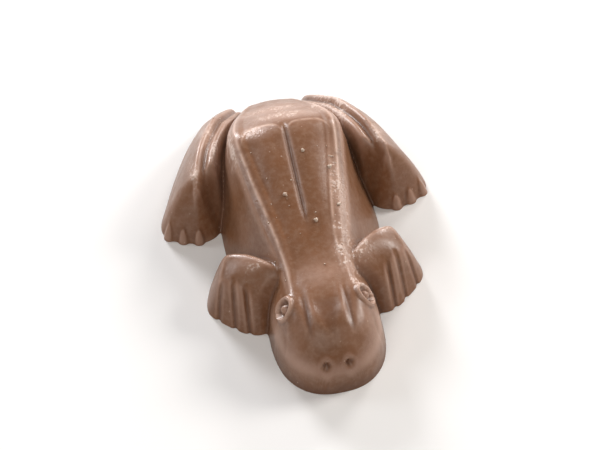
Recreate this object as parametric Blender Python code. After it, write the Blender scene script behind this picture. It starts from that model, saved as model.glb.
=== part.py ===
"""A solid milk chocolate frog, cast in one piece in an open mould on a flat base."""

import bmesh
import bpy
import numpy as np

MM = 0.001
FLAT = 1e-6

# The frog lies along Y with its nose at the low end.
# Every size below is in mm above or beside its flat base.
HALF_WIDTH = 20.6
NOSE_Y = -29.9
TAIL_Y = 30.1
GRID = 0.2
MARGIN = 1.9
SMOOTHING_ROUNDS = 3
SKIRT = -1.5
KEPT_TRIANGLES = 0.075

NECK_Y = -19.0
HEAD_HALF_WIDTH = 8.2
HEAD_FORWARD = NECK_Y - NOSE_Y
HEAD_BEHIND = 10.5
HEAD_TOP = 9.8

CORD_HEIGHT = 0.27
CORD_LIP = 0.22
CORD_GROOVE_DEPTH = 0.05
BULGE_HEIGHT = 0.55
SPINE_DEPTH = 0.42
SPINE_WIDTH = 0.38

EYE_X = 6.1
EYE_Y = -19.7
EYE_RING = 1.65
NOSTRIL_X = 1.65
NOSTRIL_Y = -28.6

# Stations along the body: y, then the half width between the two cords.
CORD_X = [(-24, 5.2), (-15, 4.3), (-10, 4.5), (-5, 5.1), (5, 6.6), (12, 7.3)]
CORD_X += [(17, 6.5), (22.5, 4.7), (29, 2.2)]
# y, then the height of the back on its middle line.
BACK_Z = [(-26, 9.4), (-20, 9.7), (-15, 9.75), (-8, 10.9), (0, 12.4), (8, 13.85), (11, 14.2)]
BACK_Z += [(13.2, 13.6), (16, 12.1), (21, 8.8), (26, 5.1), (29, 3.0)]
# y, then how much lower the back is at the cords than on its middle line.
ARCH = [(-15, 0.3), (-5, 0.6), (8, 1.0), (16, 0.9), (29, 0.6)]
# y, then how far the side wall runs out between a cord and the base.
WALL_RUN = [(-24, 2.0), (-16, 3.4), (-8, 4.5), (0, 4.6), (6, 3.7), (16, 2.0), (29, 1.1)]
# y, then half the width of a cord.
CORD_WIDTH = [(-24, 0.5), (-14, 0.85), (-5, 1.25), (4, 1.25), (10, 1.15), (17, 1.0)]
CORD_WIDTH += [(22, 0.8), (28, 0.5)]

# The hind leg's crest, from the rump forward to the knee: x, y, z.
HIND_CREST = [(5.9, 29.2, 1.4), (6.6, 27.4, 3.1), (8.0, 24.6, 5.4), (9.8, 21.4, 7.6)]
HIND_CREST += [(12.8, 14.2, 10.0), (14.6, 8.2, 10.2)]
# Share of the crest's length, then the reach of the leg's outer face from the crest to the base.
HIND_REACH = [(0, 2.2), (0.06, 3.0), (0.15, 3.9), (0.3, 4.7), (0.55, 5.5), (1, 6.2)]
# Outline of the hind leg on the base, from the rump round the outside to the knee.
HIND_OUTLINE = [(4.4, 28.6), (5.6, 30.1), (7.6, 29.9), (10.0, 28.0), (15.2, 20.6), (19.3, 11.4)]
HIND_OUTLINE += [(20.4, 8.0), (19.8, 5.8), (17.4, 4.4), (14.8, 3.7), (12.7, 4.4), (11.2, 6.0), (9.2, 7.0), (4.0, 7.6)]
HIND_OUTLINE += [(2.0, 14), (3.3, 27.2)]
TOES = [((14.7, 6.4), (15.4, 3.3)), ((16.6, 6.9), (17.8, 4.1)), ((18.2, 7.7), (19.9, 5.4))]

# The front leg's crest, from the neck back and out to the heel of the hand: x, y, z.
ARM_CREST = [(5.3, -12.5, 9.0), (6.9, -11.0, 9.2), (8.8, -9.2, 9.0), (10.8, -7.6, 8.4)]
ARM_CREST += [(12.8, -6.5, 7.2), (14.5, -5.9, 4.9)]
ARM_FRONT = [(0, 5.5), (0.25, 7.0), (0.6, 9.5), (1.0, 8.5)]
ARM_REAR = [(0, 3.0), (0.5, 3.6), (1.0, 3.0)]
# Outline of the front leg and its hand on the base.
HAND_OUTLINE = [(0.5, -17.0), (7.0, -16.0), (9.6, -16.4), (11.6, -15.6), (13.9, -13.5), (16.1, -10.7)]
HAND_OUTLINE += [(15.9, -7.6), (13.6, -2.7), (11.4, -1.9), (8.6, -2.6), (0.5, -5.0)]
# The grooves between the four fingers: inner end, tip.
FINGER_GROOVES = [((10.6, -11.5), (11.0, -16.0)), ((12.1, -10.2), (12.9, -14.6))]
FINGER_GROOVES += [((13.7, -9.8), (15.1, -12.3))]


def curve(stations, t):
    """The values at t on a smooth line through the stations, held at both ends."""
    table = np.array(stations, float)
    x, v = table[:, 0], table[:, 1:]
    slope = np.zeros_like(v)
    slope[1:-1] = (v[2:] - v[:-2]) / (x[2:] - x[:-2])[:, None]
    slope[0] = (v[1] - v[0]) / (x[1] - x[0])
    slope[-1] = (v[-1] - v[-2]) / (x[-1] - x[-2])
    t = np.clip(np.asarray(t, float), x[0], x[-1])
    i = np.clip(np.searchsorted(x, t) - 1, 0, len(x) - 2)
    step = (x[i + 1] - x[i])[..., None]
    u = (t - x[i])[..., None] / step
    held = (2 * u**3 - 3 * u**2 + 1) * v[i] + (3 * u**2 - 2 * u**3) * v[i + 1]
    bent = (u**3 - 2 * u**2 + u) * step * slope[i] + (u**3 - u**2) * step * slope[i + 1]
    value = held + bent
    return value[..., 0] if v.shape[1] == 1 else value


def higher(a, b, blend):
    """The higher of two surfaces, with a fillet where they meet."""
    h = np.clip(0.5 + 0.5 * (a - b) / blend, 0, 1)
    return b + (a - b) * h + blend * h * (1 - h)


def lower(a, b, blend):
    return -higher(-a, -b, blend)


def bump(distance, width):
    return np.exp(-((distance / width) ** 2))


def ramp(t, start, end):
    u = np.clip((t - start) / (end - start), 0, 1)
    return u * u * (3 - 2 * u)


def shares(points):
    """Each point's share of the way along the line through them."""
    steps = np.linalg.norm(np.diff(points[:, :2], axis=0), axis=1)
    along = np.r_[0, np.cumsum(steps)]
    return along / along[-1], along[-1]


def along_line(points, x, y, pieces=40):
    """Share of the way along a smooth line, also past its ends, and the distance to its left."""
    points = np.array(points, float)[:, :2]
    share, length = shares(points)
    line = curve(np.c_[share, points], np.linspace(0, 1, pieces))
    done, length = shares(line)
    nearest = np.full(x.shape, 1e9)
    t = np.zeros(x.shape)
    side = np.zeros(x.shape)
    for k in range(pieces - 1):
        start = line[k]
        way = line[k + 1] - start
        reach = way @ way
        w = ((x - start[0]) * way[0] + (y - start[1]) * way[1]) / reach
        held = np.clip(w, 0, 1)
        gap = np.hypot(x - start[0] - held * way[0], y - start[1] - held * way[1])
        free = np.clip(w, -99 if k == 0 else 0, 99 if k == pieces - 2 else 1)
        turn = np.sign((y - start[1]) * way[0] - (x - start[0]) * way[1])
        found = gap < nearest
        nearest = np.where(found, gap, nearest)
        t = np.where(found, done[k] + free * np.sqrt(reach) / length, t)
        side = np.where(found, turn * gap, side)
    return t, side


def inside(outline, x, y, pieces=70):
    """Distance in from a smooth closed outline, negative outside it."""
    points = np.array(outline + outline[:1], float)
    share, _ = shares(points)
    line = curve(np.c_[share, points], np.linspace(0, 1, pieces))
    nearest = np.full(x.shape, 1e9)
    crossings = np.zeros(x.shape)
    for a, b in zip(line[:-1], line[1:]):
        way = b - a
        w = np.clip(((x - a[0]) * way[0] + (y - a[1]) * way[1]) / (way @ way), 0, 1)
        nearest = np.minimum(nearest, np.hypot(x - a[0] - w * way[0], y - a[1] - w * way[1]))
        spans = (a[1] > y) != (b[1] > y)
        crossings += spans & (x < way[0] * (y - a[1]) / (way[1] + 1e-12) + a[0])
    return np.where(crossings % 2 == 1, nearest, -nearest)


def torso(a, y):
    """The back between its two cords, the rump behind the hump, and the steep side walls."""
    cord_x, width = curve(CORD_X, y), curve(CORD_WIDTH, y)
    top, arch, run = curve(BACK_Z, y), curve(ARCH, y), curve(WALL_RUN, y)
    inner = cord_x - width
    edge = cord_x + width
    middle = ramp(y, -14, -5) * (1 - ramp(y, 6, 13))
    bulge = np.cos(np.clip((a / inner - 0.5) * 2.0, -1, 1) * np.pi / 2)
    back = top - arch * np.clip(a / cord_x, 0, 1.3) ** 2 + BULGE_HEIGHT * bulge * middle
    back -= SPINE_DEPTH * bump(a, SPINE_WIDTH) * ramp(y, -7, -2.5) * (1 - ramp(y, 9, 13))
    back -= CORD_GROOVE_DEPTH * bump(a - inner + 0.1, 0.35) * ramp(y, -22, -14) * (1 - ramp(y, 13, 20))
    cord = ramp(a, inner - 0.1, inner + 0.5) * (1 - 0.7 * ramp(a, inner + 0.6, edge))
    cord = CORD_HEIGHT * cord + CORD_LIP * bump(a - cord_x - 0.4 * width, 0.4)
    back += cord * ramp(y, -22, -13) * (1 - ramp(y, 24, 30))
    out = np.clip((a - edge) / run, 0, 9)
    shoulder = top - 1.2 * arch + 0.2
    wall = shoulder * (1 - out) - 0.45 * np.sin(np.clip(out, 0, 1) * np.pi)
    wall = np.where(a < edge, shoulder + (edge - a) * 1.3, wall)
    return lower(lower(back, wall, 0.55), (TAIL_Y - 0.6 - y) * 1.7 + 0.5, 2.6)


def head(a, y):
    """A rounded spoon of a head with upright sides."""
    along = np.where(y < NECK_Y, (NECK_Y - y) / HEAD_FORWARD, (y - NECK_Y) / HEAD_BEHIND)
    rho = ((a / HEAD_HALF_WIDTH) ** 2.4 + along**2.4) ** (1 / 2.4)
    top = curve([(-31, 9.3), (-27, 9.8), (-23, 9.95), (NECK_Y, HEAD_TOP), (-10, HEAD_TOP)], y)
    return top * np.clip(1 - rho**3.4, 0, 1) ** (1 / 2.2) - 16 * np.clip(rho - 1, 0, 10)


def face(a, y):
    """Two ridges down from the brow on each side, with a groove between, the dish and the nostrils."""
    fades = ramp(y, -27.5, -23.5) * (1 - ramp(y, -21.0, -16.5))
    spread = 0.25 * np.clip(-20 - y, -1, 6)
    relief = 0.26 * bump(a - 2.2, 0.5) * fades + 0.2 * bump(a - 4.2 - spread, 0.6) * fades
    relief -= 0.42 * bump(a - 3.1, 0.5) * fades
    dish_half = 0.7 + 0.25 * np.clip(y + 26.5, 0, 6)
    relief -= 0.42 * np.exp(-((a / dish_half) ** 4)) * ramp(y, -27.5, -23) * (1 - ramp(y, -22, -17.5))
    ring = np.hypot(a - NOSTRIL_X, y - NOSTRIL_Y)
    return relief - 0.85 * bump(ring, 0.55) + 0.15 * bump(ring - 1.05, 0.35)


def hind_leg(a, y):
    """A folded hind leg: an outer face, a sharp crest, a strip of thigh and a valley to the back."""
    crest = np.array(HIND_CREST, float)
    share, _ = shares(crest)
    t, side = along_line(HIND_CREST, a, y)
    top = curve(np.c_[share, crest[:, 2]], t)
    q = np.clip(side / curve(HIND_REACH, t), 0, 2)
    outer = top * (1 - 0.86 * q**1.15)
    inward = -side / curve([(0, 0.8), (0.4, 0.95), (1, 1.1)], t)
    valley = (0.36 + 0.4 * ramp(y, 12.5, 7.5)) * top * ramp(inward, 2.3, 4.1)
    strip = top - 0.12 * np.clip(inward, 0, 9) - 0.62 * bump(inward - 1.15, 0.42) - valley
    leg = np.where(side > 0, outer, strip)
    leg = lower(leg, 3.0 * inside(HIND_OUTLINE, a, y) + 0.2, 2.4)
    for root, tip in TOES:
        leg = higher(leg, toe(root, tip, a, y), 0.2)
    return leg


def toe(root, tip, a, y):
    along, side = along_line([root, tip], a, y, 2)
    past = np.clip(along - 0.75, 0, 9) * np.hypot(tip[0] - root[0], tip[1] - root[1])
    r = np.hypot(side, past)
    ridge = (4.4 - 3.0 * np.clip(along, 0, 1)) * (1 - (r / 0.92) ** 2.4) - 3 * np.clip(r - 0.92, 0, 9)
    return ridge - 30 * np.clip(-0.3 - along, 0, 1)


def front_leg(a, y):
    """A front leg that widens into a flat hand with four fingers, like a mitten."""
    crest = np.array(ARM_CREST, float)
    share, length = shares(crest)
    t, side = along_line(ARM_CREST, a, y)
    side = -side
    top = curve(np.c_[share, crest[:, 2]], t)
    reach = np.where(side < 0, curve(ARM_REAR, t), curve(ARM_FRONT, t))
    q = np.clip(np.abs(side) / reach, 0, 3)
    arm = top * np.where(side < 0, 1 - q**2.0, 1 - 0.8 * q**1.5)
    arm -= 1.1 * (np.clip(t - 1, 0, 9) * length) ** 1.6 + 20 * np.clip(-t, 0, 9)
    arm = lower(np.maximum(arm, -4), 3.0 * inside(HAND_OUTLINE, a, y) + 0.2, 1.6)
    for root, tip in FINGER_GROOVES:
        along, off = along_line([root, tip], a, y, 2)
        arm -= 1.15 * bump(off, 0.36) * ramp(along, -0.2, 0.3)
    return arm


def height(x, y):
    """The frog's surface above each point of its base, the same on both sides."""
    a = np.sqrt(x * x + 0.01)
    crown = head(a, y)
    body = torso(a, y)
    over = ramp(y, -23.5, -17.5)
    body = higher(body * over + np.minimum(crown, body + 1) * (1 - over), crown, 0.9)
    body += face(a, y) + 0.55 * bump(np.hypot(a - EYE_X, y - EYE_Y), 2.1)
    body = higher(body, front_leg(a, y), 1.0)
    return higher(body, hind_leg(a, y), 0.45)


def eye_relief(points):
    """How far each point moves out along its normal for an eye's ring, groove and ball."""
    a = np.abs(points[:, 0])
    eye_z = height(np.array([EYE_X]), np.array([EYE_Y]))[0]
    r = np.sqrt((a - EYE_X) ** 2 + (points[:, 1] - EYE_Y) ** 2 + (points[:, 2] - eye_z) ** 2)
    return 0.5 * bump(r - EYE_RING, 0.36) - 0.38 * bump(r - 1.02, 0.34) + 0.4 * bump(r, 0.55)


def raised_sheet():
    """A grid over the base, raised to the frog's surface, with a skirt below the base round it."""
    half_x, half_y = HALF_WIDTH + MARGIN, TAIL_Y + MARGIN
    across, along = round(2 * half_x / GRID), round(2 * half_y / GRID)
    sheet = bmesh.new()
    bmesh.ops.create_grid(sheet, x_segments=across, y_segments=along, size=0.5)
    place = np.array([v.co[:] for v in sheet.verts]) * (2 * half_x, 2 * half_y, 1)
    place[:, 2] = np.maximum(height(place[:, 0], place[:, 1]), SKIRT)
    for vertex, point in zip(sheet.verts, place):
        vertex.co = point
    every_way = {"use_axis_x": True, "use_axis_y": True, "use_axis_z": True}
    for _ in range(SMOOTHING_ROUNDS):
        bmesh.ops.smooth_vert(sheet, verts=sheet.verts, factor=0.5, **every_way)
    sheet.normal_update()
    moves = eye_relief(np.array([v.co[:] for v in sheet.verts]))
    for vertex, move in zip(sheet.verts, moves):
        vertex.co += vertex.normal * float(move)
    bmesh.ops.scale(sheet, verts=sheet.verts, vec=(MM, MM, MM))
    return sheet


def simplified(sheet):
    """The sheet with far fewer faces where it is smooth, alike on both sides."""
    mesh = bpy.data.meshes.new("sheet")
    sheet.to_mesh(mesh)
    sheet.free()
    helper = bpy.data.objects.new("sheet", mesh)
    bpy.context.scene.collection.objects.link(helper)
    fewer = helper.modifiers.new("Fewer faces", "DECIMATE")
    fewer.ratio = KEPT_TRIANGLES
    fewer.use_symmetry = True
    fewer.symmetry_axis = "X"
    bpy.context.view_layer.update()
    depsgraph = bpy.context.evaluated_depsgraph_get()
    result = bpy.data.meshes.new_from_object(helper.evaluated_get(depsgraph))
    bpy.data.objects.remove(helper)
    return result


def cut_flat(mesh):
    """The frog cut off at its base and closed with one flat face."""
    solid = bmesh.new()
    solid.from_mesh(mesh)
    everything = solid.verts[:] + solid.edges[:] + solid.faces[:]
    base = {"plane_co": (0, 0, 0), "plane_no": (0, 0, -1)}
    bmesh.ops.bisect_plane(solid, geom=everything, clear_outer=True, dist=FLAT, **base)
    flat = [face for face in solid.faces if all(v.co.z < FLAT for v in face.verts)]
    bmesh.ops.delete(solid, geom=flat, context="FACES")
    bmesh.ops.contextual_create(solid, geom=[edge for edge in solid.edges if edge.is_boundary])
    bmesh.ops.recalc_face_normals(solid, faces=solid.faces)
    for face in solid.faces:
        face.smooth = abs(face.normal.z + 1) > 1e-3
    solid.to_mesh(mesh)
    solid.free()
    return mesh


def milk_chocolate():
    material = bpy.data.materials.new("milk_chocolate")
    material.use_nodes = True
    shader = material.node_tree.nodes["Principled BSDF"]
    shader.inputs["Base Color"].default_value = (0.19, 0.095, 0.06, 1)
    shader.inputs["Roughness"].default_value = 0.42
    return material


def build():
    for thing in list(bpy.data.objects):
        bpy.data.objects.remove(thing)
    mesh = cut_flat(simplified(raised_sheet()))
    mesh.name = "frog"
    mesh.materials.clear()
    mesh.materials.append(milk_chocolate())
    frog = bpy.data.objects.new("frog", mesh)
    bpy.context.scene.collection.objects.link(frog)


build()
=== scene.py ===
import bmesh
import bpy
import numpy as np
from mathutils import Matrix, Vector, noise


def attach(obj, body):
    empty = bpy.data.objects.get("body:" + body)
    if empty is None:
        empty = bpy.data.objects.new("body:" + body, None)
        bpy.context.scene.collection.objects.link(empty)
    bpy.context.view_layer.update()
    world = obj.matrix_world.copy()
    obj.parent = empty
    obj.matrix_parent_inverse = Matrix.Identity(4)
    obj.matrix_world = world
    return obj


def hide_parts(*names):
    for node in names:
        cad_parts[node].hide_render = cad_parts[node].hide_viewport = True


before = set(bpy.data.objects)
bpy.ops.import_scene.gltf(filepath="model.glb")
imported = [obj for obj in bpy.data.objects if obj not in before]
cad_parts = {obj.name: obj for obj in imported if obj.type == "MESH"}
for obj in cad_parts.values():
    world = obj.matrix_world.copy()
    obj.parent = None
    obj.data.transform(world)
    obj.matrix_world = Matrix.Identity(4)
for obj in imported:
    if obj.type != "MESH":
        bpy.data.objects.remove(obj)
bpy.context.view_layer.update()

mm = 0.001
print("frame loaded:", sorted(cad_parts))


# Curves and blends that the whole frog is drawn with. Sizes are in mm, from the flat base and the middle.

farAway = 1e9  # further than any point of the frog
runOn = 99  # how far a line runs on past its ends, in lengths of its end piece


def curve(stations, t):  # a smooth curve through rows of a place and its values
    table = np.array(stations, float)
    x, v = table[:, 0], table[:, 1:]
    slope = np.zeros_like(v)
    slope[1:-1] = (v[2:] - v[:-2]) / (x[2:] - x[:-2])[:, None]
    slope[0] = (v[1] - v[0]) / (x[1] - x[0])
    slope[-1] = (v[-1] - v[-2]) / (x[-1] - x[-2])
    t = np.clip(np.asarray(t, float), x[0], x[-1])
    i = np.clip(np.searchsorted(x, t) - 1, 0, len(x) - 2)
    step = (x[i + 1] - x[i])[..., None]
    u = (t - x[i])[..., None] / step
    held = (2 * u**3 - 3 * u**2 + 1) * v[i] + (3 * u**2 - 2 * u**3) * v[i + 1]
    bent = (u**3 - 2 * u**2 + u) * step * slope[i] + (u**3 - u**2) * step * slope[i + 1]
    value = held + bent
    return value[..., 0] if v.shape[1] == 1 else value


def higher(a, b, fillet):  # the higher of two surfaces, with a fillet between them
    h = np.clip(0.5 + 0.5 * (a - b) / fillet, 0, 1)
    return b + (a - b) * h + fillet * h * (1 - h)


def lower(a, b, fillet):
    return -higher(-a, -b, fillet)


def bump(distance, width):
    return np.exp(-((distance / width) ** 2))


def rings(distance, profile):  # ridges and grooves, each by its place, height and width
    return sum(height * bump(distance - place, width) for place, height, width in profile)


def ramp(t, start, end):
    u = np.clip((t - start) / (end - start), 0, 1)
    return u * u * (3 - 2 * u)


def within(t, rise, fall):  # 1 between the two slopes, and 0 outside them
    return ramp(t, *rise) * (1 - ramp(t, *fall))


def shares(points):  # each point's share of the way along the line, and the line's length
    steps = np.linalg.norm(np.diff(points[:, :2], axis=0), axis=1)
    along = np.r_[0, np.cumsum(steps)]
    return along / along[-1], along[-1]


def alongLine(points, x, y, pieces=48):  # share of the way along, and the distance to the left
    points = np.array(points, float)[:, :2]
    share, _ = shares(points)
    line = curve(np.c_[share, points], np.linspace(0, 1, pieces))
    done, length = shares(line)
    nearest = np.full(x.shape, farAway)
    t = np.zeros(x.shape)
    side = np.zeros(x.shape)
    for k in range(pieces - 1):
        start = line[k]
        way = line[k + 1] - start
        reach = way @ way
        w = ((x - start[0]) * way[0] + (y - start[1]) * way[1]) / reach
        held = np.clip(w, 0, 1)
        gap = np.hypot(x - start[0] - held * way[0], y - start[1] - held * way[1])
        first = -runOn if k == 0 else 0
        last = runOn if k == pieces - 2 else 1
        turn = np.sign((y - start[1]) * way[0] - (x - start[0]) * way[1])
        found = gap < nearest
        nearest = np.where(found, gap, nearest)
        t = np.where(found, done[k] + np.clip(w, first, last) * np.sqrt(reach) / length, t)
        side = np.where(found, turn * gap, side)
    return t, side


def inside(outline, x, y, pieces=90):  # distance in from a smooth closed outline, negative outside
    points = np.array(outline + outline[:1], float)
    share, _ = shares(points)
    line = curve(np.c_[share, points], np.linspace(0, 1, pieces))
    nearest = np.full(x.shape, farAway)
    crossings = np.zeros(x.shape)
    for a, b in zip(line[:-1], line[1:]):
        way = b - a
        w = np.clip(((x - a[0]) * way[0] + (y - a[1]) * way[1]) / (way @ way), 0, 1)
        nearest = np.minimum(nearest, np.hypot(x - a[0] - w * way[0], y - a[1] - w * way[1]))
        spans = (a[1] > y) != (b[1] > y)
        crossings += spans & (x < way[0] * (y - a[1]) / (way[1] + 1e-12) + a[0])
    return np.where(crossings % 2 == 1, nearest, -nearest)


torsoSizes = {  # each table gives y and the size there, from the neck to the rump
    "cordX": [(-24, 5.2), (-15, 4.3), (-10, 4.5), (-5, 5.1), (5, 6.6), (12, 7.3), (17, 6.5), (22.5, 4.7),
              (29, 2.2)],
    "backZ": [(-26, 9.4), (-20, 9.7), (-15, 9.75), (-8, 10.9), (0, 12.4), (8, 13.85), (11, 14.2),
              (13.2, 13.6), (16, 12.1), (21, 8.8), (26, 5.1), (29, 3.0)],
    "arch": [(-15, 0.3), (-5, 0.6), (8, 1.0), (16, 0.9), (29, 0.6)],
    "wallRun": [(-24, 2.0), (-16, 3.4), (-8, 4.5), (0, 4.6), (6, 3.7), (16, 2.0), (29, 1.1)],
    "wallHollow": 0.45,
    "wallFillet": 1.3,
    "shoulder": (1.2, 0.2),  # arches below the top, and mm above that
    "shoulderSlope": 1.3,
    "cordWidth": [(-24, 0.5), (-14, 0.85), (-5, 1.25), (4, 1.25), (10, 1.15), (17, 1.0), (22, 0.8),
                  (28, 0.5)],  # half of it
    "cordHeight": 0.27,
    "cordRise": (-0.3, 0.7),  # from the cord's inner edge
    "cordFall": (0.6, 0.7),  # from the inner edge, and the share of the height lost by the outer one
    "cordFrom": (-22, -13),
    "cordTo": (24, 30),
    "lip": 0.06,
    "lipWidth": 0.4,
    "lipPlace": 0.15,  # share of the cord's half width outside its middle
    "bulge": 0.42,  # crown of the hump's two lobes
    "bulgeFrom": (-12, 4),
    "bulgeTo": (6, 13),
    "spineDepth": 0.42,
    "spineWidth": 0.31,
    "spineFrom": (-7, -2.5),
    "spineTo": (9, 13),
    "tailY": 29.5,
    "tailZ": 0.5,
    "tailSlope": 1.7,
    "tailFillet": 2.6,
}


def torso(a, y):  # the back between its two cords, the rump behind the hump, and the side walls
    s = torsoSizes
    cordX, top = curve(s["cordX"], y), curve(s["backZ"], y)
    run, width, arch = curve(s["wallRun"], y), curve(s["cordWidth"], y), curve(s["arch"], y)
    inner, edge = cordX - width, cordX + width
    lobe = np.cos(np.clip((a / inner - 0.5) * 2.0, -1, 1) * np.pi / 2)
    back = top - arch * np.clip(a / cordX, 0, 1.3) ** 2
    back += s["bulge"] * lobe * within(y, s["bulgeFrom"], s["bulgeTo"])
    back -= s["spineDepth"] * bump(a, s["spineWidth"]) * within(y, s["spineFrom"], s["spineTo"])
    (start, full), (fall, lost) = s["cordRise"], s["cordFall"]
    cord = ramp(a, inner + start, inner + full) * (1 - lost * ramp(a, inner + fall, edge))
    lip = bump(a - cordX - s["lipPlace"] * width, s["lipWidth"])
    back += (s["cordHeight"] * cord + s["lip"] * lip) * within(y, s["cordFrom"], s["cordTo"])
    out = np.clip((a - edge) / run, 0, 9)
    below, above = s["shoulder"]
    shoulder = top - below * arch + above
    wall = shoulder * (1 - out) - s["wallHollow"] * np.sin(np.clip(out, 0, 1) * np.pi)
    wall = np.where(a < edge, shoulder + (edge - a) * s["shoulderSlope"], wall)
    tail = (s["tailY"] - y) * s["tailSlope"] + s["tailZ"]
    return lower(lower(back, wall, s["wallFillet"]), tail, s["tailFillet"])


headSizes = {
    "neckY": -19.0,
    "halfWidth": 8.2,
    "forward": 10.9,
    "behind": 10.5,
    "top": [(-31, 9.3), (-27, 9.8), (-23, 9.95), (-19, 9.8), (-10, 9.8)],
    "roundness": 2.4,  # power of the outline, where 2 is an ellipse
    "crown": (3.4, 2.2),  # powers of the profile: flat on top, upright at the sides
    "skirtSlope": 16,
    "nostril": (1.7, -29.0),
    "nostrilRings": [(0.0, -0.62, 0.5), (0.95, 0.06, 0.3)],  # radius, height, width
    "eye": (6.1, -19.7),
    "eyeMound": (0.55, 2.1),  # height, width
    "eyeRings": [(1.65, 0.5, 0.32), (1.0, -0.42, 0.34), (0.0, 0.4, 0.55)],  # ring, groove and ball
}


def head(a, y):  # a rounded spoon of a head with upright sides
    s = headSizes
    along = np.where(y < s["neckY"], (s["neckY"] - y) / s["forward"], (y - s["neckY"]) / s["behind"])
    power = s["roundness"]
    rho = ((a / s["halfWidth"]) ** power + along**power) ** (1 / power)
    flat, upright = s["crown"]
    dome = curve(s["top"], y) * np.clip(1 - rho**flat, 0, 1) ** (1 / upright)
    return dome - s["skirtSlope"] * np.clip(rho - 1, 0, 10)


browSizes = {
    "innerRidge": (2.3, 0.1, 0.6),  # distance from the middle, height, width
    "outerRidge": (4.2, 0.1, 0.7),
    "groove": (3.15, -0.28, 0.5),
    "from": (-27.0, -22.8),
    "to": (-21.0, -16.5),
    "spreadY": -20,  # in front of this the outer ridge leaves the middle
    "spread": 0.25,
    "dishDepth": 0.36,
    "dishTip": -26.5,
    "dishHalf": 0.7,  # half width at its tip
    "dishWidens": 0.25,
    "dishFrom": (-27.5, -23),
    "dishTo": (-22, -17.5),
}


def brow(a, y):  # the ridges that run down from the brow, the grooves between them and the dish
    s = browSizes
    spread = s["spread"] * np.clip(s["spreadY"] - y, -1, 6)
    relief = rings(a, [s["innerRidge"], s["groove"]]) + rings(a - spread, [s["outerRidge"]])
    half = s["dishHalf"] + s["dishWidens"] * np.clip(y - s["dishTip"], 0, 6)
    dish = s["dishDepth"] * np.exp(-((a / half) ** 3))
    return relief * within(y, s["from"], s["to"]) - dish * within(y, s["dishFrom"], s["dishTo"])


hindLeg = {
    "crest": [(5.9, 29.2, 1.4), (6.6, 27.4, 3.1), (8.0, 24.6, 5.4), (9.8, 21.4, 7.6), (12.8, 14.2, 10.0),
              (14.6, 8.2, 10.2)],  # x, y, z from the rump to the knee
    "reach": [(0, 2.2), (0.06, 3.0), (0.15, 3.9), (0.3, 4.7), (0.55, 5.5), (1, 6.2)],  # outward from it
    "outerDrop": (0.86, 1.15),  # share of the height, and power
    "stripWidth": [(0, 0.8), (0.4, 0.95), (1, 1.1)],
    "stripSlope": 0.12,
    "stripGroove": (1.15, 0.62, 0.42),  # strip widths in from the crest, depth, width
    "valley": (2.3, 4.1),
    "valleyDepth": 0.36,  # share of the height
    "kneeDepth": 0.4,  # added to it towards the knee
    "kneeY": (12.5, 7.5),
    "outline": [(4.4, 28.6), (5.6, 30.1), (7.6, 29.9), (10.0, 28.0), (15.2, 20.6), (19.3, 11.4), (20.4, 8.0),
                (19.8, 5.8), (17.4, 4.4), (14.8, 3.7), (12.7, 4.4), (11.2, 6.0), (9.2, 7.0), (4.0, 7.6),
                (2.0, 14), (3.3, 27.2)],
    "fillet": 2.4,
    "toes": [((14.7, 6.4), (15.4, 3.3)), ((16.6, 6.9), (17.8, 4.1)), ((18.2, 7.7), (19.9, 5.4))],
    "toeRadius": 0.92,
    "toeHeight": 4.4,
    "toeFalls": 3.0,
    "toePower": 2.4,
    "toeSkirt": 3,
    "toeTip": 0.75,  # share of the length where its end starts to round off
    "toeRoot": (-0.3, 30),  # share where it dives into the leg, and how steeply
    "toeFillet": 0.2,
}
legSide = {"slope": 3.0, "foot": 0.2}  # of the edge of every leg, in from its outline


def legEdge(outline, a, y):
    return legSide["slope"] * inside(outline, a, y) + legSide["foot"]


def crestHeight(line, t):
    crest = np.array(line, float)
    share, length = shares(crest)
    return curve(np.c_[share, crest[:, 2]], t), length


def hindLegHeight(a, y):
    s = hindLeg
    t, side = alongLine(s["crest"], a, y)
    top, _ = crestHeight(s["crest"], t)
    drop, power = s["outerDrop"]
    outer = top * (1 - drop * np.clip(side / curve(s["reach"], t), 0, 2) ** power)
    inward = -side / curve(s["stripWidth"], t)
    place, depth, width = s["stripGroove"]
    valley = (s["valleyDepth"] + s["kneeDepth"] * ramp(y, *s["kneeY"])) * top * ramp(inward, *s["valley"])
    strip = top - s["stripSlope"] * np.clip(inward, 0, 9) - depth * bump(inward - place, width) - valley
    leg = lower(np.where(side > 0, outer, strip), legEdge(s["outline"], a, y), s["fillet"])
    for root, tip in s["toes"]:
        leg = higher(leg, toe(root, tip, a, y), s["toeFillet"])
    return leg


def toe(root, tip, a, y):
    s = hindLeg
    along, side = alongLine([root, tip], a, y, 2)
    past = np.clip(along - s["toeTip"], 0, 9) * np.hypot(tip[0] - root[0], tip[1] - root[1])
    r, radius = np.hypot(side, past), s["toeRadius"]
    height = s["toeHeight"] - s["toeFalls"] * np.clip(along, 0, 1)
    ridge = height * (1 - (r / radius) ** s["toePower"]) - s["toeSkirt"] * np.clip(r - radius, 0, 9)
    start, steep = s["toeRoot"]
    return ridge - steep * np.clip(start - along, 0, 1)


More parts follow.
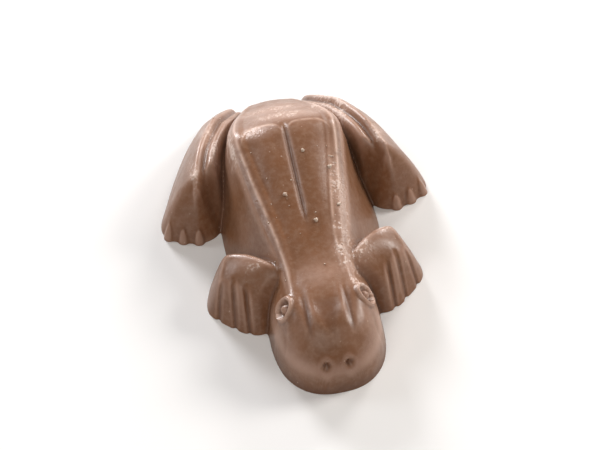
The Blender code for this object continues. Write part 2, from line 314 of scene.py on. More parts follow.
frontLeg = {
    "crest": [(5.3, -12.5, 9.0), (6.9, -11.0, 9.2), (8.8, -9.2, 9.0), (10.8, -7.6, 8.4), (12.8, -6.5, 7.2),
              (14.5, -5.9, 4.9)],  # x, y, z from the shoulder to the hand
    "front": [(0, 5.5), (0.25, 7.0), (0.6, 9.5), (1.0, 8.5)],  # reach forward from it
    "frontDrop": (0.8, 1.5),  # share of the height, and power
    "rear": [(0, 3.0), (0.5, 3.6), (1.0, 3.0)],
    "rearDrop": (1.0, 2.0),
    "handDrop": (1.1, 1.6),
    "shoulderDrop": 20,
    "deepest": -4,  # below the base its slopes run on to here
    "outline": [(0.5, -17.0), (7.0, -16.0), (9.6, -16.4), (11.6, -15.6), (13.9, -13.5), (16.1, -10.7),
                (15.9, -7.6), (13.6, -2.7), (11.4, -1.9), (8.6, -2.6), (0.5, -5.0)],
    "fillet": 1.6,
    "grooves": [((10.6, -11.5), (11.0, -16.0)), ((12.1, -10.2), (12.9, -14.6)),
                ((13.7, -9.8), (15.1, -12.3))],
    "grooveDepth": 1.1,
    "grooveWidth": 0.33,
    "grooveFrom": (0.05, 0.55),
}


def frontLegHeight(a, y):
    s = frontLeg
    t, side = alongLine(s["crest"], a, y)
    top, length = crestHeight(s["crest"], t)
    rear = side > 0
    reach = np.where(rear, curve(s["rear"], t), curve(s["front"], t))
    q = np.clip(np.abs(side) / reach, 0, 3)
    (rearShare, rearPower), (frontShare, frontPower) = s["rearDrop"], s["frontDrop"]
    arm = top * (1 - np.where(rear, rearShare * q**rearPower, frontShare * q**frontPower))
    slope, power = s["handDrop"]
    arm -= slope * (np.clip(t - 1, 0, 9) * length) ** power + s["shoulderDrop"] * np.clip(-t, 0, 9)
    arm = lower(np.maximum(arm, s["deepest"]), legEdge(s["outline"], a, y), s["fillet"])
    for root, tip in s["grooves"]:
        along, off = alongLine([root, tip], a, y, 2)
        arm -= s["grooveDepth"] * bump(off, s["grooveWidth"]) * ramp(along, *s["grooveFrom"])
    return arm


joins = {"neckY": (-23.5, -17.5), "neck": 0.9, "frontLeg": 1.0, "hindLeg": 0.45}  # where, and fillets


def frogHeight(x, y):  # the surface above each point of the base, alike on both sides
    a = np.sqrt(x * x + 0.01)  # from the middle, with no crease there
    crown = head(a, y)
    body = torso(a, y)
    over = ramp(y, *joins["neckY"])
    body = higher(body * over + np.minimum(crown, body + 1) * (1 - over), crown, joins["neck"])
    eyeX, eyeY = headSizes["eye"]
    height, width = headSizes["eyeMound"]
    body += brow(a, y) + height * bump(np.hypot(a - eyeX, y - eyeY), width)
    body = higher(body, frontLegHeight(a, y), joins["frontLeg"])
    return higher(body, hindLegHeight(a, y), joins["hindLeg"])


def awayFrom(spot, points):  # distance to a spot on the surface, on both sides of the frog
    z = frogHeight(np.array([spot[0]]), np.array([spot[1]]))[0]
    across, along, up = np.abs(points[:, 0]) - spot[0], points[:, 1] - spot[1], points[:, 2] - z
    return np.sqrt(across**2 + along**2 + up**2)


def faceRelief(points):  # the ring, groove and ball of each eye, and the nostrils, out along the normals
    s = headSizes
    eyes = rings(awayFrom(s["eye"], points), s["eyeRings"])
    return eyes + rings(awayFrom(s["nostril"], points), s["nostrilRings"])


# Where the casting is pale or dark, from rubbing and dust and from painted highlights and sheen, each place
# by x, y, width, length and strength.

# rubbed places, and painted highlights at the hump's left corner, behind the hump and beside the left cord
rubbedAndHighlightPlaces = [
    (4.6, -7.8, 1.2, 1.7, 1.4), (4.0, -11.7, 1.0, 1.6, 1.5), (4.9, -14.0, 1.5, 1.6, 1.5),  # neck, right
    (5.4, -17.6, 1.2, 1.3, 1.4), (5.8, -1.0, 1.1, 5.5, 1.1),
    (6.9, -10.6, 1.9, 2.2, 1.3), (11.4, -7.0, 1.8, 0.8, 1.0), (-8.6, -10.4, 2.2, 0.9, 1.0),  # front legs
    (-5.0, 11.4, 1.7, 1.2, 1.3), (0.8, 15.2, 5.0, 1.7, 1.3), (-8.5, 10.0, 0.8, 3.6, 1.0),  # hump
    (-0.5, 18.8, 5.4, 2.6, 1.1), (6.6, 18.6, 2.0, 4.0, 1.3),  # rump
    (9.6, 19.0, 1.4, 4.4, 1.5), (8.4, 24.8, 2.0, 3.0, 1.2), (14.2, 10.8, 0.9, 2.6, 1.2),  # thighs
    (-10.8, 15.5, 0.9, 5.0, 1.2), (-14.6, 10.0, 0.8, 3.0, 1.1),
]
# dust, and painted light and sheen on the neck, the snout, the hump and beside the left cord
dustAndSheenPlaces = [
    (5.6, -1.0, 1.3, 9.0, 1.0), (4.2, -13.0, 1.6, 4.5, 1.0), (0.5, -15.0, 3.2, 3.0, 1.15),  # back, neck
    (4.8, -24.0, 2.0, 3.2, 0.75), (7.2, -20.6, 1.5, 2.2, 0.8), (-6.4, -20.2, 1.2, 1.8, 1.0),  # head
    (-4.9, -24.6, 1.7, 3.0, 0.6), (2.6, -26.6, 1.5, 1.5, 0.5), (-3.6, -26.4, 1.5, 1.5, 0.35),
    (6.6, -10.2, 2.0, 2.2, 0.9), (-9.0, -9.0, 2.4, 1.2, 1.0),  # front legs
    (-4.6, 12.6, 2.6, 1.6, 1.0), (1.5, 15.4, 5.0, 2.0, 1.1), (-8.5, 9.6, 1.0, 4.0, 1.2),  # hump
    (-0.5, 18.8, 5.6, 3.0, 0.6), (9.5, 17.5, 2.2, 6.0, 0.8), (-11.0, 14.5, 2.4, 6.0, 1.1),  # rump, thighs
]
# Sizes of the painted shade in the eyes' sockets, on the back between the cords, in the dish and down the
# brow.
paintedShadeSizes = {
    "socket": 0.7,
    "socketWidth": 0.3,
    "back": 0.3,
    "backFrom": (-13, -8),
    "backTo": (9.5, 12),
    "backEdge": (1.6, 0.2),  # mm inside the cords
    "dish": 1.0,
    "dishHalf": 0.9,
    "dishWidens": 0.28,
    "streak": 0.95,
    "streakWidth": 0.5,
    "browFrom": (-28, -24.5),
    "browTo": (-21.5, -18.5),
}
# Painted highlight lines: where each lies and how wide and strong it is, uneven between left and right as the
# light falls.
highlightLineSizes = {
    "crestWidth": 0.24,
    "crestFrom": (-19, -14),
    "crestTo": (15, 24),
    "rightCrest": (0.2, 0.7),  # at the neck, and added from crestGrows on
    "crestGrows": (-5, 0),
    "innerPlace": 0.75,  # share of the cord's half width inside its middle
    "innerWidth": 0.22,
    "innerFrom": (-17, -12),
    "innerTo": (9, 12),
    "innerFaint": 0.75,
    "innerFades": (1, 6),
    "ring": 0.55,
    "ringWidth": 0.3,
    "rimY": 12.4,
    "rimBend": 1.9,
    "lobeX": 3.5,
    "lobeHalf": 3.1,
    "rimWidth": 0.3,
    "rimFrom": (0.2, 0.9),
    "rimTo": (6.4, 7.0),
    "rimSides": (0.9, 0.6),  # left, right
}


def patchesAt(places, points):
    zone = np.zeros(len(points))
    for x, y, wide, long, strength in places:
        spot = np.exp(-((points[:, 0] - x) / wide) ** 2 - ((points[:, 1] - y) / long) ** 2)
        zone = np.maximum(zone, strength * spot)
    return zone


def paintedShadeAt(points):  # painted shade in the dish, down the brow's grooves and in the eyes' sockets, and a darker back between the cords
    s = paintedShadeSizes
    a, y = np.abs(points[:, 0]), points[:, 1]
    groove = headSizes["eyeRings"][1][0]
    socket = s["socket"] * bump(awayFrom(headSizes["eye"], points) - groove, s["socketWidth"])
    inner = curve(torsoSizes["cordX"], y) - curve(torsoSizes["cordWidth"], y)
    start, end = s["backEdge"]
    back = s["back"] * (1 - ramp(a, inner - start, inner - end)) * within(y, s["backFrom"], s["backTo"])
    half = s["dishHalf"] + s["dishWidens"] * np.clip(y - browSizes["dishTip"], 0, 29)
    dish = s["dish"] * bump(a / half, 1.0)
    streak = s["streak"] * bump(a - browSizes["groove"][0], s["streakWidth"])
    return socket + back + (dish + streak) * within(y, s["browFrom"], s["browTo"])


def paintedHighlightLines(points):  # painted highlights: thin pale lines along the cords, over the hump's rim and round the eyes
    s, t = highlightLineSizes, torsoSizes
    x, y = points[:, 0], points[:, 1]
    a = np.abs(x)
    cordX, width = curve(t["cordX"], y), curve(t["cordWidth"], y)
    crest = bump(a - cordX - t["lipPlace"] * width, s["crestWidth"]) * within(y, s["crestFrom"], s["crestTo"])
    least, added = s["rightCrest"]
    crest *= np.where(x < 0, 1, least + added * ramp(y, *s["crestGrows"]))
    inner = bump(x - cordX + s["innerPlace"] * width, s["innerWidth"])
    inner *= within(y, s["innerFrom"], s["innerTo"]) * (1 - s["innerFaint"] * ramp(y, *s["innerFades"]))
    radius = headSizes["eyeRings"][0][0]
    ring = s["ring"] * bump(awayFrom(headSizes["eye"], points) - radius, s["ringWidth"])
    rimY = s["rimY"] - s["rimBend"] * ((a - s["lobeX"]) / s["lobeHalf"]) ** 4
    rim = bump(y - rimY, s["rimWidth"]) * within(a, s["rimFrom"], s["rimTo"])
    rim *= np.where(x < 0, *s["rimSides"])
    return np.maximum.reduce([crest, inner, ring, rim])


casting = {
    "grid": 0.13,  # between the points of the sheet that is drawn up
    "halfX": 22.2,
    "halfY": 32.0,
    "skirt": -1.5,
    "rounds": 5,
    "wearRounds": 19,
    "shownZ": -0.4,
    "flat": 1e-4,
    "sharpAngle": 55,
}
wearing = {
    "seed": 11.0,
    "noises": {"lumps": (5.0, 2, 0), "grit": (0.55, 3, 5), "patch": (1.7, 2, 9), "dots": (0.33, 2, 14)},
    "edge": (0.022, 0.05),  # how proud an edge stands where it starts to wear, and the range above that
    "paintedShade": (0.015, 0.06),
    "nostrilRim": (0.8, 0.5),  # radius and width of the rim that is spared
    "nostrilSpared": 0.65,
    "lineBreaks": {"patch": 1.0, "grit": 0.3},
    "lineFrom": (-1.1, 0.1),
    "scuffBreaks": {"patch": 0.6, "grit": 0.5, "dots": 1.1},
    "scuffMore": 0.5,  # added where a place is stronger than 1
    "scuffFrom": (-0.1, 0.6),
    "scuffEdge": (0.1, 0.4),  # everywhere, and more in the listed rubbed and highlighted places
    "scuffLine": 0.15,
    "scuffZone": 0.75,
    "dustAndSheenBreaks": {"patch": 0.3, "grit": 0.25},
    "dustAndSheenEven": 0.8,
    "paleFromZone": 0.6,
    "paleFromDust": 0.7,
    "paleFromEdge": 0.8,
    "swell": 0.05,  # slow unevenness of the cast surface
    "scuffRelief": 0.07,
    "lineRelief": 0.03,
}


def placeOf(bm):
    return np.array([v.co[:] for v in bm.verts])


def movePoints(bm, points):
    for vertex, point in zip(bm.verts, points):
        vertex.co = point


def soften(bm, rounds):
    for _ in range(rounds):
        bmesh.ops.smooth_vert(bm, verts=bm.verts, factor=0.5,
                              use_axis_x=True, use_axis_y=True, use_axis_z=True)


def noiseOver(points, size, octaves, shift):  # about -1 to 1, one value a point
    offset = Vector((shift, shift * 0.7, -shift))
    return np.array([noise.fractal(Vector(p) / size + offset, 1.0, 2.0, octaves) for p in points])


def noisesOver(points):
    shown = points[:, 2] > casting["shownZ"]
    made = {}
    for name, (size, octaves, shift) in wearing["noises"].items():
        made[name] = np.zeros(len(points))
        made[name][shown] = noiseOver(points[shown], size, octaves, wearing["seed"] + shift)
    return made


def weighed(noises, weights):
    return sum(weight * noises[name] for name, weight in weights.items())


def drawUp():  # a sheet over the base, lifted to the frog's height
    c = casting
    bm = bmesh.new()
    columns, rows = round(2 * c["halfX"] / c["grid"]), round(2 * c["halfY"] / c["grid"])
    bmesh.ops.create_grid(bm, x_segments=columns, y_segments=rows, size=0.5)
    points = placeOf(bm) * (2 * c["halfX"], 2 * c["halfY"], 1)
    points[:, 2] = np.maximum(frogHeight(points[:, 0], points[:, 1]), c["skirt"])
    movePoints(bm, points)
    soften(bm, c["rounds"])
    return bm


def wearAndPaintLight(points, normals, proud):  # the worn points, and the masks that the chocolate reads, 0 to 1: wear, dust, painted shade, painted sheen and painted highlights
    w = wearing
    noises = noisesOver(points)
    zone = patchesAt(rubbedAndHighlightPlaces, points)
    radius, width = w["nostrilRim"]
    spared = w["nostrilSpared"] * bump(awayFrom(headSizes["nostril"], points) - radius, width)
    (edgeStart, edgeRange), (shadeStart, shadeRange) = w["edge"], w["paintedShade"]
    edge = np.clip((proud - edgeStart) / edgeRange, 0, 1) * (1 - spared)
    # painted shade in creases and hollows, where the surface lies below its softened copy, and in the dish,
    # brow grooves, eye sockets and back
    paintedShade = np.clip((-proud - shadeStart) / shadeRange + paintedShadeAt(points), 0, 1)
    # painted highlight lines, broken by noise
    line = paintedHighlightLines(points) * ramp(weighed(noises, w["lineBreaks"]), *w["lineFrom"])
    broken = weighed(noises, w["scuffBreaks"]) + w["scuffMore"] * np.clip(zone - 1, 0, 1)
    everywhere, rubbed = w["scuffEdge"]
    scuff = edge * (everywhere + rubbed * zone) + w["scuffLine"] * line
    scuff = np.clip(scuff + w["scuffZone"] * zone * ramp(broken, *w["scuffFrom"]), 0, 1)
    relief = w["swell"] * noises["lumps"] + w["scuffRelief"] * scuff * noises["grit"] + w["lineRelief"] * line
    points = points + normals * relief[:, None]
    # pale from rubbing, dust and worn edges, with painted highlights and sheen where the places put them
    dustAndSheen = patchesAt(dustAndSheenPlaces, points) * (w["dustAndSheenEven"] + weighed(noises, w["dustAndSheenBreaks"]))
    paleWearAndSheen = np.clip(w["paleFromZone"] * zone + w["paleFromDust"] * dustAndSheen + w["paleFromEdge"] * edge, 0, 1)
    return points, {"scuff": scuff, "paleWearAndSheen": paleWearAndSheen, "paintedShade": paintedShade, "line": line}


def closeBase(bm):  # cut the sheet off at the base and fill it
    everything = bm.verts[:] + bm.edges[:] + bm.faces[:]
    bmesh.ops.bisect_plane(bm, geom=everything, plane_co=(0, 0, 0), plane_no=(0, 0, -1),
                           clear_outer=True, dist=casting["flat"])
    flat = [f for f in bm.faces if all(v.co.z < casting["flat"] for v in f.verts)]
    bmesh.ops.delete(bm, geom=flat, context="FACES")
    bmesh.ops.contextual_create(bm, geom=[e for e in bm.edges if e.is_boundary])
    bmesh.ops.recalc_face_normals(bm, faces=bm.faces)


def makeCasting():
    bm = drawUp()
    bm.normal_update()
    points = placeOf(bm)
    normals = np.array([v.normal[:] for v in bm.verts])
    points += normals * faceRelief(points)[:, None]
    movePoints(bm, points)
    print("casting drawn up:", len(points), "points")

    soften(bm, casting["wearRounds"])  # a softened copy shows which edges stand proud
    proud = ((points - placeOf(bm)) * normals).sum(axis=1)
    points, masks = wearAndPaintLight(points, normals, proud)
    movePoints(bm, points)
    for name, values in masks.items():
        layer = bm.verts.layers.float.new(name)
        for vertex, value in zip(bm.verts, values):
            vertex[layer] = float(value)
    closeBase(bm)
    piece = newPiece("frogCasting", bm)
    piece.data.set_sharp_from_angle(angle=np.radians(casting["sharpAngle"]))
    return piece


def newPiece(name, bm):  # a smooth shaded piece in metres, from a mesh in mm
    bmesh.ops.scale(bm, verts=bm.verts, vec=(mm, mm, mm))
    for f in bm.faces:
        f.smooth = True
    mesh = bpy.data.meshes.new(name)
    bm.to_mesh(mesh)
    bm.free()
    piece = bpy.data.objects.new(name, mesh)
    bpy.context.scene.collection.objects.link(piece)
    return piece


crumbs = {
    "seed": 23,
    "big": [(-2.1, -1.0, 0.33), (1.5, -6.1, 0.33), (5.3, 3.0, 0.34), (5.4, -3.7, 0.28),
            (1.9, 6.0, 0.24)],  # x, y, radius
    "small": (0.05, 0.13),  # least and most radius of the others
    "onCord": 22,
    "cordY": (-15, 9),
    "onRight": 0.75,  # share of those on the cords
    "stray": 0.8,
    "onBack": 14,
    "backX": (-6, 6),
    "backY": (-16, 11),
    "onLegs": 12,
    "legY": (8, 26),
    "kneeX": 14.5,
    "legSlant": 0.38,
    "lift": 0.2,  # share of the radius that a crumb's middle lies above the chocolate
    "squat": 0.75,
    "lumps": (0.9, 1.1),  # depth and pitch, in radii
    "bits": (0.35, 2.7),
    "base": (0.56, 0.44, 0.35, 1),
    "warm": (0.4, 0.27, 0.2, 1),
    "pale": (0.74, 0.64, 0.56, 1),
    "dull": 0.75,
    "grain": 2.5,
    "bump": (0.7, 0.00005),  # strength, metres
}


def crumbSpots():
    c = crumbs
    draw = np.random.RandomState(c["seed"])
    spots = list(c["big"])
    for _ in range(c["onCord"]):
        y = draw.uniform(*c["cordY"])
        x = float(curve(torsoSizes["cordX"], y)) + draw.normal(0, c["stray"])
        spots.append((x if draw.uniform() < c["onRight"] else -x, y, draw.uniform(*c["small"])))
    for _ in range(c["onBack"]):
        spots.append((draw.uniform(*c["backX"]), draw.uniform(*c["backY"]), draw.uniform(*c["small"])))
    for _ in range(c["onLegs"]):
        y = draw.uniform(*c["legY"])
        x = c["kneeX"] - c["legSlant"] * (y - c["legY"][0]) + draw.normal(0, c["stray"])
        spots.append((x * draw.choice([-1, 1]), y, draw.uniform(*c["small"])))
    return spots, draw


def makeCrumbs():
    c = crumbs
    spots, draw = crumbSpots()
    x, y = np.array([s[0] for s in spots]), np.array([s[1] for s in spots])
    z = frogHeight(x, y)
    (deep, lumpPitch), (shallow, bitPitch) = c["lumps"], c["bits"]
    bm = bmesh.new()
    for px, py, pz, (_, _, size) in zip(x, y, z, spots):
        centre = Vector((px, py, pz + size * c["lift"]))
        turn = Matrix.Rotation(draw.uniform(0, 6.28), 4, "Z") @ Matrix.Rotation(draw.uniform(0, 6.28), 4, "X")
        place = Matrix.Translation(centre) @ turn
        chip = bmesh.ops.create_icosphere(bm, subdivisions=2, radius=size, matrix=place)["verts"]
        shift = Vector((draw.uniform(0, 50), draw.uniform(0, 50), draw.uniform(0, 50)))
        for v in chip:
            out = v.co - centre
            lumps = deep * noise.noise(out / size * lumpPitch + shift)
            bits = shallow * noise.noise(out / size * bitPitch + shift)
            v.co = centre + Vector((out.x, out.y, out.z * c["squat"])) * (1 + lumps + bits)
    bmesh.ops.recalc_face_normals(bm, faces=bm.faces)
    return newPiece("crumbs", bm)


# Shader groups, each built once. Noises are given by scale, detail and roughness.

def newGroup(name, inputs, outputs):
    tree = bpy.data.node_groups.new(name, "ShaderNodeTree")
    for label, kind, value in inputs:
        socket = tree.interface.new_socket(label, in_out="INPUT", socket_type=kind)
        socket.default_value = value
    for label, kind in outputs:
        tree.interface.new_socket(label, in_out="OUTPUT", socket_type=kind)
    return tree, tree.nodes.new("NodeGroupInput"), tree.nodes.new("NodeGroupOutput")


def noiseNode(tree, settings, vector):
    node = tree.nodes.new("ShaderNodeTexNoise")
    for name, value in zip(("Scale", "Detail", "Roughness"), settings):
        node.inputs[name].default_value = value
    tree.links.new(vector, node.inputs["Vector"])
    return node.outputs["Fac"]


def maths(tree, operation, first, second):
    node = tree.nodes.new("ShaderNodeMath")
    node.operation = operation
    for socket, value in zip(node.inputs, (first, second)):
        feed(tree, socket, value)
    return node.outputs["Value"]


def mapped(tree, value, low, high, toLow=0.0, toHigh=1.0):
    node = tree.nodes.new("ShaderNodeMapRange")
    for name, number in (("From Min", low), ("From Max", high), ("To Min", toLow), ("To Max", toHigh)):
        node.inputs[name].default_value = number
    tree.links.new(value, node.inputs["Value"])
    return node.outputs["Result"]


def mixed(tree, factor, first, second):
    node = tree.nodes.new("ShaderNodeMix")
    node.data_type = "RGBA"
    for name, value in (("Factor", factor), ("A", first), ("B", second)):
        feed(tree, next(s for s in node.inputs if s.name == name and s.enabled), value)
    return next(s for s in node.outputs if s.enabled)


def feed(tree, socket, value):  # a number or colour is set, and a socket is linked
    if isinstance(value, (int, float, tuple)):
        socket.default_value = value
    else:
        tree.links.new(value, socket)


toneSizes = {
    "broad": (170, 2, 0.5),
    "warmFrom": (0.42, 0.66),
    "fine": (1150, 5, 0.62),
    "paleFrom": (0.44, 0.66),
    "paleMost": 0.6,
}


def makeToneGroup():  # milk fat and cocoa never mix quite evenly
    s = toneSizes
    inputs = [("Base", "NodeSocketColor", (0.2, 0.1, 0.06, 1)),
              ("Warm", "NodeSocketColor", (0.2, 0.1, 0.06, 1)),
              ("Pale", "NodeSocketColor", (0.3, 0.2, 0.15, 1)),
              ("Vector", "NodeSocketVector", (0, 0, 0))]
    tree, start, end = newGroup("unevenTone", inputs, [("Color", "NodeSocketColor")])
    vector = start.outputs["Vector"]
    broad = mapped(tree, noiseNode(tree, s["broad"], vector), *s["warmFrom"])
    fine = mapped(tree, noiseNode(tree, s["fine"], vector), *s["paleFrom"], 0, s["paleMost"])
    warm = mixed(tree, broad, start.outputs["Base"], start.outputs["Warm"])
    tree.links.new(mixed(tree, fine, warm, start.outputs["Pale"]), end.inputs["Color"])
    return tree


grainSizes = {
    "grain": (2600, 5, 0.62),
    "grainDepth": 0.5,
    "waves": (500, 3, 0.5),
    "pinholes": 620,
    "pinholeFrom": (0.05, 0.16),
    "pinholeDepth": 0.35,
}


def makeGrainGroup():  # the mould's fine grain with a few pinholes
    s = grainSizes
    inputs = [("Scale", "NodeSocketFloat", 1.0), ("Vector", "NodeSocketVector", (0, 0, 0))]
    tree, start, end = newGroup("mouldGrain", inputs, [("Height", "NodeSocketFloat")])
    scaled = tree.nodes.new("ShaderNodeVectorMath")
    scaled.operation = "SCALE"
    tree.links.new(start.outputs["Vector"], scaled.inputs[0])
    tree.links.new(start.outputs["Scale"], scaled.inputs["Scale"])
    vector = scaled.outputs["Vector"]
    holes = tree.nodes.new("ShaderNodeTexVoronoi")
    holes.inputs["Scale"].default_value = s["pinholes"]
    tree.links.new(vector, holes.inputs["Vector"])
    pits = mapped(tree, holes.outputs["Distance"], *s["pinholeFrom"])
    grain = maths(tree, "MULTIPLY", noiseNode(tree, s["grain"], vector), s["grainDepth"])
    together = maths(tree, "ADD", grain, noiseNode(tree, s["waves"], vector))
    height = maths(tree, "ADD", together, maths(tree, "MULTIPLY", pits, s["pinholeDepth"]))
    tree.links.new(height, end.inputs["Height"])
    return tree


scuffSizes = {
    "specks": (1900, 6, 0.7),
    "speckShare": 0.65,
    "scratches": (700, 3, 0.6),
    "scratchShare": 0.35,
    "stretch": (5.0, 0.8, 2.0),
    "slant": 0.35,  # radians
    "lift": 0.55,
    "maskFrom": (0.6, 0.86),
}


def makeScuffGroup():  # breaks a smooth wear value into scratches and rubbed specks
    s = scuffSizes
    inputs = [("Wear", "NodeSocketFloat", 0.0), ("Vector", "NodeSocketVector", (0, 0, 0))]
    outputs = [("Mask", "NodeSocketFloat"), ("Height", "NodeSocketFloat")]
    tree, start, end = newGroup("brokenScuff", inputs, outputs)
    stretched = tree.nodes.new("ShaderNodeMapping")
    stretched.inputs["Scale"].default_value = s["stretch"]
    stretched.inputs["Rotation"].default_value = (0, 0, s["slant"])
    tree.links.new(start.outputs["Vector"], stretched.inputs["Vector"])
    specks = noiseNode(tree, s["specks"], start.outputs["Vector"])
    scratches = noiseNode(tree, s["scratches"], stretched.outputs["Vector"])
    both = maths(tree, "ADD", maths(tree, "MULTIPLY", specks, s["speckShare"]),
                 maths(tree, "MULTIPLY", scratches, s["scratchShare"]))
    lifted = maths(tree, "ADD", both, maths(tree, "MULTIPLY", start.outputs["Wear"], s["lift"]))
    tree.links.new(mapped(tree, lifted, *s["maskFrom"]), end.inputs["Mask"])
    tree.links.new(maths(tree, "MULTIPLY", both, start.outputs["Wear"]), end.inputs["Height"])
    return tree


speckSizes = {
    "sizes": (0.5, 1.6),  # smallest and largest, as shares of Size
    "edge": (0.6, 1.1),
    "cellsFrom": (0.4, 0.5),  # cells below this share stay empty
}


def makeSpeckGroup():  # dry specks of crumb dust, some cells of a scatter and not others
    s = speckSizes
    inputs = [("Scale", "NodeSocketFloat", 700.0), ("Size", "NodeSocketFloat", 0.06),
              ("Vector", "NodeSocketVector", (0, 0, 0))]
    tree, start, end = newGroup("dustSpecks", inputs, [("Mask", "NodeSocketFloat")])
    cells = tree.nodes.new("ShaderNodeTexVoronoi")
    tree.links.new(start.outputs["Scale"], cells.inputs["Scale"])
    tree.links.new(start.outputs["Vector"], cells.inputs["Vector"])
    split = tree.nodes.new("ShaderNodeSeparateColor")
    tree.links.new(cells.outputs["Color"], split.inputs["Color"])
    uneven = mapped(tree, split.outputs["Green"], 0.0, 1.0, *s["sizes"])
    near = maths(tree, "DIVIDE", cells.outputs["Distance"],
                 maths(tree, "MULTIPLY", start.outputs["Size"], uneven))
    dot = mapped(tree, near, *s["edge"], 1.0, 0.0)
    kept = mapped(tree, split.outputs["Red"], *s["cellsFrom"])
    tree.links.new(maths(tree, "MULTIPLY", dot, kept), end.inputs["Mask"])
    return tree


def placeGroup(tree, group, values):
    node = tree.nodes.new("ShaderNodeGroup")
    node.node_tree = group
    for name, value in values.items():
        feed(tree, node.inputs[name], value)
    return node


def newMaterial(name):
    material = bpy.data.materials.new(name)
    material.use_nodes = True
    tree = material.node_tree
    return material, tree, tree.nodes["Principled BSDF"]


def addBump(tree, shader, height, strength, distance):
    relief = tree.nodes.new("ShaderNodeBump")
    relief.inputs["Strength"].default_value = strength
    relief.inputs["Distance"].default_value = distance
    tree.links.new(height, relief.inputs["Height"])
    tree.links.new(relief.outputs["Normal"], shader.inputs["Normal"])


chocolate = {
    "base": (0.185, 0.081, 0.038, 1),
    "warm": (0.205, 0.086, 0.037, 1),
    "pale": (0.26, 0.145, 0.09, 1),
    # the pale colour of rubbing and dust, also used for the painted sheen and highlights
    "paleWearAndSheenTone": (0.42, 0.258, 0.19, 1),
    "paleWearAndSheenAmount": 0.8,
    # the colour of the painted shade
    "paintedShade": (0.09, 0.039, 0.022, 1),
    "paintedShadeAmount": 0.5,
    # the colour of the painted highlight lines
    "highlightTone": (0.6, 0.4, 0.31, 1),
    "highlightAmount": 0.8,
    "speck": (0.5, 0.36, 0.28, 1),
    "coarseSpecks": (700.0, 0.065, 0.6),  # scale, size, amount
    "fineSpecks": (1500.0, 0.085, 0.28),
    "scuffed": (0.68, 0.54, 0.47, 1),
    "smooth": 0.31,
    "dull": 0.6,
    "cloudy": (420, 3, 0.6),
    "cloudyFrom": (0.35, 0.7),
    "cloudyDull": 0.12,
    "scuffHeight": 2.2,
    "bump": (0.6, 0.00006),  # strength, metres
}


def makeChocolate(groups):
    c = chocolate
    material, tree, shader = newMaterial("milkChocolate")
    vector = tree.nodes.new("ShaderNodeTexCoord").outputs["Object"]
    masks = {}
    for name in ("scuff", "paleWearAndSheen", "paintedShade", "line"):
        node = tree.nodes.new("ShaderNodeAttribute")
        node.attribute_name = name
        masks[name] = node.outputs["Fac"]

    tones = {"Base": c["base"], "Warm": c["warm"], "Pale": c["pale"], "Vector": vector}
    colour = placeGroup(tree, groups["tone"], tones).outputs["Color"]
    # pale wear with painted sheen, then painted shade, then painted highlight lines, each over the colour
    # before
    layers = (("paleWearAndSheen", "paleWearAndSheenAmount", "paleWearAndSheenTone"), ("paintedShade", "paintedShadeAmount", "paintedShade"),
              ("line", "highlightAmount", "highlightTone"))
    for mask, amount, over in layers:
        colour = mixed(tree, maths(tree, "MULTIPLY", masks[mask], c[amount]), colour, c[over])
    coarse = speckLayer(tree, groups, vector, "coarseSpecks")
    fine = speckLayer(tree, groups, vector, "fineSpecks")
    colour = mixed(tree, maths(tree, "ADD", coarse, fine), colour, c["speck"])
    scuff = placeGroup(tree, groups["scuff"], {"Wear": masks["scuff"], "Vector": vector})
    scuffed = maths(tree, "MULTIPLY", scuff.outputs["Mask"], masks["scuff"])
    tree.links.new(mixed(tree, scuffed, colour, c["scuffed"]), shader.inputs["Base Color"])

    cloudy = mapped(tree, noiseNode(tree, c["cloudy"], vector), *c["cloudyFrom"],
                    c["smooth"], c["smooth"] + c["cloudyDull"])
    rough = maths(tree, "ADD", cloudy, maths(tree, "MULTIPLY", scuffed, c["dull"] - c["smooth"]))
    tree.links.new(rough, shader.inputs["Roughness"])
    grain = placeGroup(tree, groups["grain"], {"Scale": 1.0, "Vector": vector})
    scratched = maths(tree, "MULTIPLY", scuff.outputs["Height"], c["scuffHeight"])
    addBump(tree, shader, maths(tree, "ADD", grain.outputs["Height"], scratched), *c["bump"])
    return material


def speckLayer(tree, groups, vector, name):
    scale, size, amount = chocolate[name]
    specks = placeGroup(tree, groups["speck"], {"Scale": scale, "Size": size, "Vector": vector})
    return maths(tree, "MULTIPLY", specks.outputs["Mask"], amount)


def makeCrumbChocolate(groups):
    c = crumbs
    material, tree, shader = newMaterial("dryCrumb")
    vector = tree.nodes.new("ShaderNodeTexCoord").outputs["Object"]
    tones = {"Base": c["base"], "Warm": c["warm"], "Pale": c["pale"], "Vector": vector}
    tone = placeGroup(tree, groups["tone"], tones)
    tree.links.new(tone.outputs["Color"], shader.inputs["Base Color"])
    shader.inputs["Roughness"].default_value = c["dull"]
    grain = placeGroup(tree, groups["grain"], {"Scale": c["grain"], "Vector": vector})
    addBump(tree, shader, grain.outputs["Height"], *c["bump"])
    return material


photoView = {  # degrees and metres
    "azimuth": -6.9,
    "elevation": 47.5,
    "roll": -5.1,
    "distance": 0.6,
    "aim": (0.0005, 0.0, 0.004),
    "frameWidth": 0.0915,  # across the frame at the frog
    "sensor": 36,
    "near": 0.01,
}


def viewAxes(azimuth, elevation, roll):
    az, el, turn = np.radians([azimuth, elevation, roll])
    back = np.array([np.sin(az) * np.cos(el), -np.cos(az) * np.cos(el), np.sin(el)])
    right = np.array([np.cos(az), np.sin(az), 0.0])
    up = np.cross(back, right)
    return np.cos(turn) * right + np.sin(turn) * up, np.cos(turn) * up - np.sin(turn) * right, back


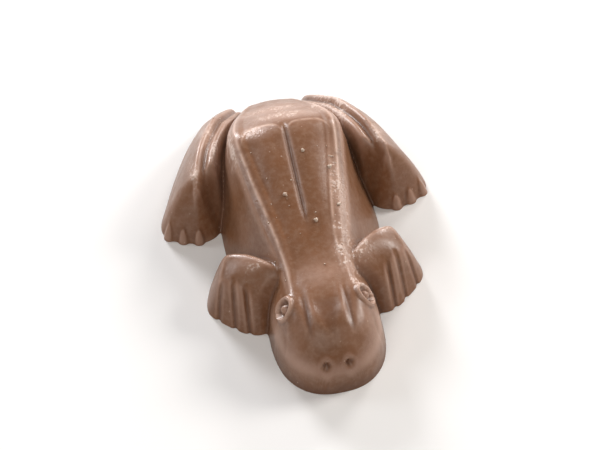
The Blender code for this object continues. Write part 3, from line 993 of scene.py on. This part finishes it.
def makeCamera():
    p = photoView
    right, up, back = viewAxes(p["azimuth"], p["elevation"], p["roll"])
    place = np.array(p["aim"]) + back * p["distance"]
    lens = bpy.data.cameras.new("photoCamera")
    camera = bpy.data.objects.new("photoCamera", lens)
    bpy.context.scene.collection.objects.link(camera)
    lens.sensor_width = p["sensor"]
    lens.lens = p["sensor"] * p["distance"] / p["frameWidth"]
    lens.clip_start = p["near"]
    turned = Matrix.Identity(4)
    for column, axis in enumerate((right, up, back, place)):
        for row in range(3):
            turned[row][column] = axis[row]
    camera.matrix_world = turned
    bpy.context.scene.camera = camera


softBoxes = [  # direction to the light, distance and side in metres
    {"name": "back", "way": (-0.24, 0.88, 0.4), "away": 0.6, "side": 0.16,
     "watts": 2.7, "colour": (0.99, 0.98, 1.0)},
    {"name": "backRight", "way": (0.55, 0.75, 0.38), "away": 0.6, "side": 0.16,
     "watts": 1.5, "colour": (1.0, 0.97, 0.95)},
    {"name": "right", "way": (0.85, 0.2, 0.55), "away": 0.6, "side": 0.2,
     "watts": 2.2, "colour": (1.0, 0.96, 0.92)},
    {"name": "leftBack", "way": (-0.7, 0.43, 0.57), "away": 0.6, "side": 0.16,
     "watts": 0.6, "colour": (0.95, 0.97, 1.0)},
    {"name": "front", "way": (-0.35, -0.8, 1.15), "away": 0.8, "side": 0.7,
     "watts": 2.8, "colour": (1.0, 0.92, 0.84)},
]
room = {
    "glow": 0.13,
    "floorHalf": 1500,
    "floorZ": -0.05,  # clear of the flat base
    "floorTone": (0.88, 0.88, 0.88, 1),
    "floorDull": 0.6,
}


def makeLights():
    for box in softBoxes:
        light = bpy.data.lights.new(box["name"], "AREA")
        light.size = box["side"]
        light.energy = box["watts"]
        light.color = box["colour"]
        lamp = bpy.data.objects.new(box["name"], light)
        bpy.context.scene.collection.objects.link(lamp)
        way = Vector(box["way"]).normalized()
        lamp.rotation_mode = "QUATERNION"
        lamp.rotation_quaternion = way.to_track_quat("Z", "Y")
        lamp.location = way * box["away"]
    world = bpy.data.worlds.new("studio")
    world.use_nodes = True
    world.node_tree.nodes["Background"].inputs["Color"].default_value = (1, 1, 1, 1)
    world.node_tree.nodes["Background"].inputs["Strength"].default_value = room["glow"]
    bpy.context.scene.world = world


def makeFloor():
    bm = bmesh.new()
    bmesh.ops.create_grid(bm, x_segments=1, y_segments=1, size=room["floorHalf"])
    bmesh.ops.translate(bm, verts=bm.verts, vec=(0, 0, room["floorZ"]))
    floor = newPiece("floor", bm)
    material, _, shader = newMaterial("paleFloor")
    shader.inputs["Base Color"].default_value = room["floorTone"]
    shader.inputs["Roughness"].default_value = room["floorDull"]
    floor.data.materials.append(material)


groups = {
    "tone": makeToneGroup(),
    "grain": makeGrainGroup(),
    "scuff": makeScuffGroup(),
    "speck": makeSpeckGroup(),
}
frog = makeCasting()
frog.data.materials.append(makeChocolate(groups))
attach(frog, "root")
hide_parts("frog")
print("frog cast:", len(frog.data.polygons), "faces")

chips = makeCrumbs()
chips.data.materials.append(makeCrumbChocolate(groups))
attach(chips, "root")
print("crumbs strewn:", len(chips.data.polygons), "faces")

makeFloor()
makeLights()
makeCamera()
bpy.context.scene.view_settings.view_transform = "Standard"
print("floor, lights and camera set")
